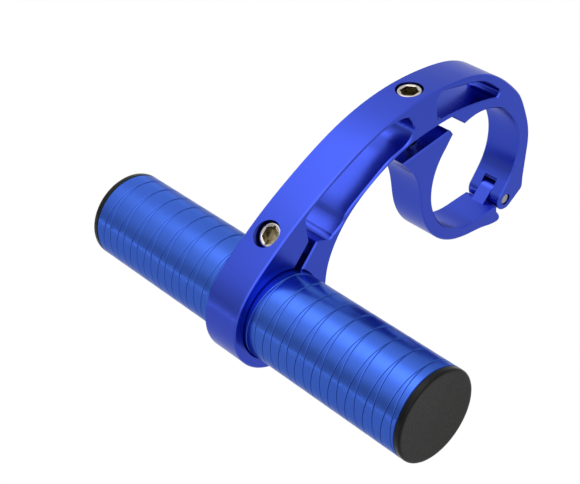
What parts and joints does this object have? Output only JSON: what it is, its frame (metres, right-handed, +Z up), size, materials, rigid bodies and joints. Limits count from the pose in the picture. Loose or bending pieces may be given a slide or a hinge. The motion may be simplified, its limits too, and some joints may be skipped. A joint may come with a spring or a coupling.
{
  "type": "handlebar extender",
  "caption": "Milled arch-shaped arm that clamps on a handlebar with a hinged jaw and carries a short round accessory tube in a split ring.",
  "frame": {"origin": "centre of the handlebar bore, in the arm's mid-plane", "axes": "+X along the handlebar and the accessory tube, +Z up, accessory tube towards -Y"},
  "size_m": [0.104, 0.1001, 0.0525],
  "materials": {
    "arm": "blue anodised, satin",
    "tube": "lighter blue anodised, satin",
    "steel": "plain stainless",
    "cap": "matt black"
  },
  "bodies": {
    "arm": {"arm": "arm", "hinge_pin": "steel"},
    "jaw": {"jaw": "arm"},
    "clamp_screw": {"clamp_screw": "steel"},
    "pinch_screw": {"pinch_screw": "steel"},
    "tube": {"extension_tube": "tube", "end_cap_left": "cap", "end_cap_right": "cap"}
  },
  "joints": [
    {"name": "jaw_swing", "type": "hinge", "parent": "arm", "child": "jaw", "pos_m": [0, 0.01011, -0.0165], "axis": [1, 0, 0], "range_deg": [-1.2, 100]},
    {"name": "clamp_screw_travel", "type": "slide", "parent": "arm", "child": "clamp_screw", "axis": [0, 0.0872, 0.9962], "range_m": [0, 0.012]},
    {"name": "pinch_screw_travel", "type": "slide", "parent": "arm", "child": "pinch_screw", "axis": [0, -0.6428, 0.766], "range_m": [0, 0.013]},
    {"name": "tube_slide", "type": "slide", "parent": "arm", "child": "tube", "axis": [1, 0, 0], "range_m": [-0.04, 0.04]}
  ]
}
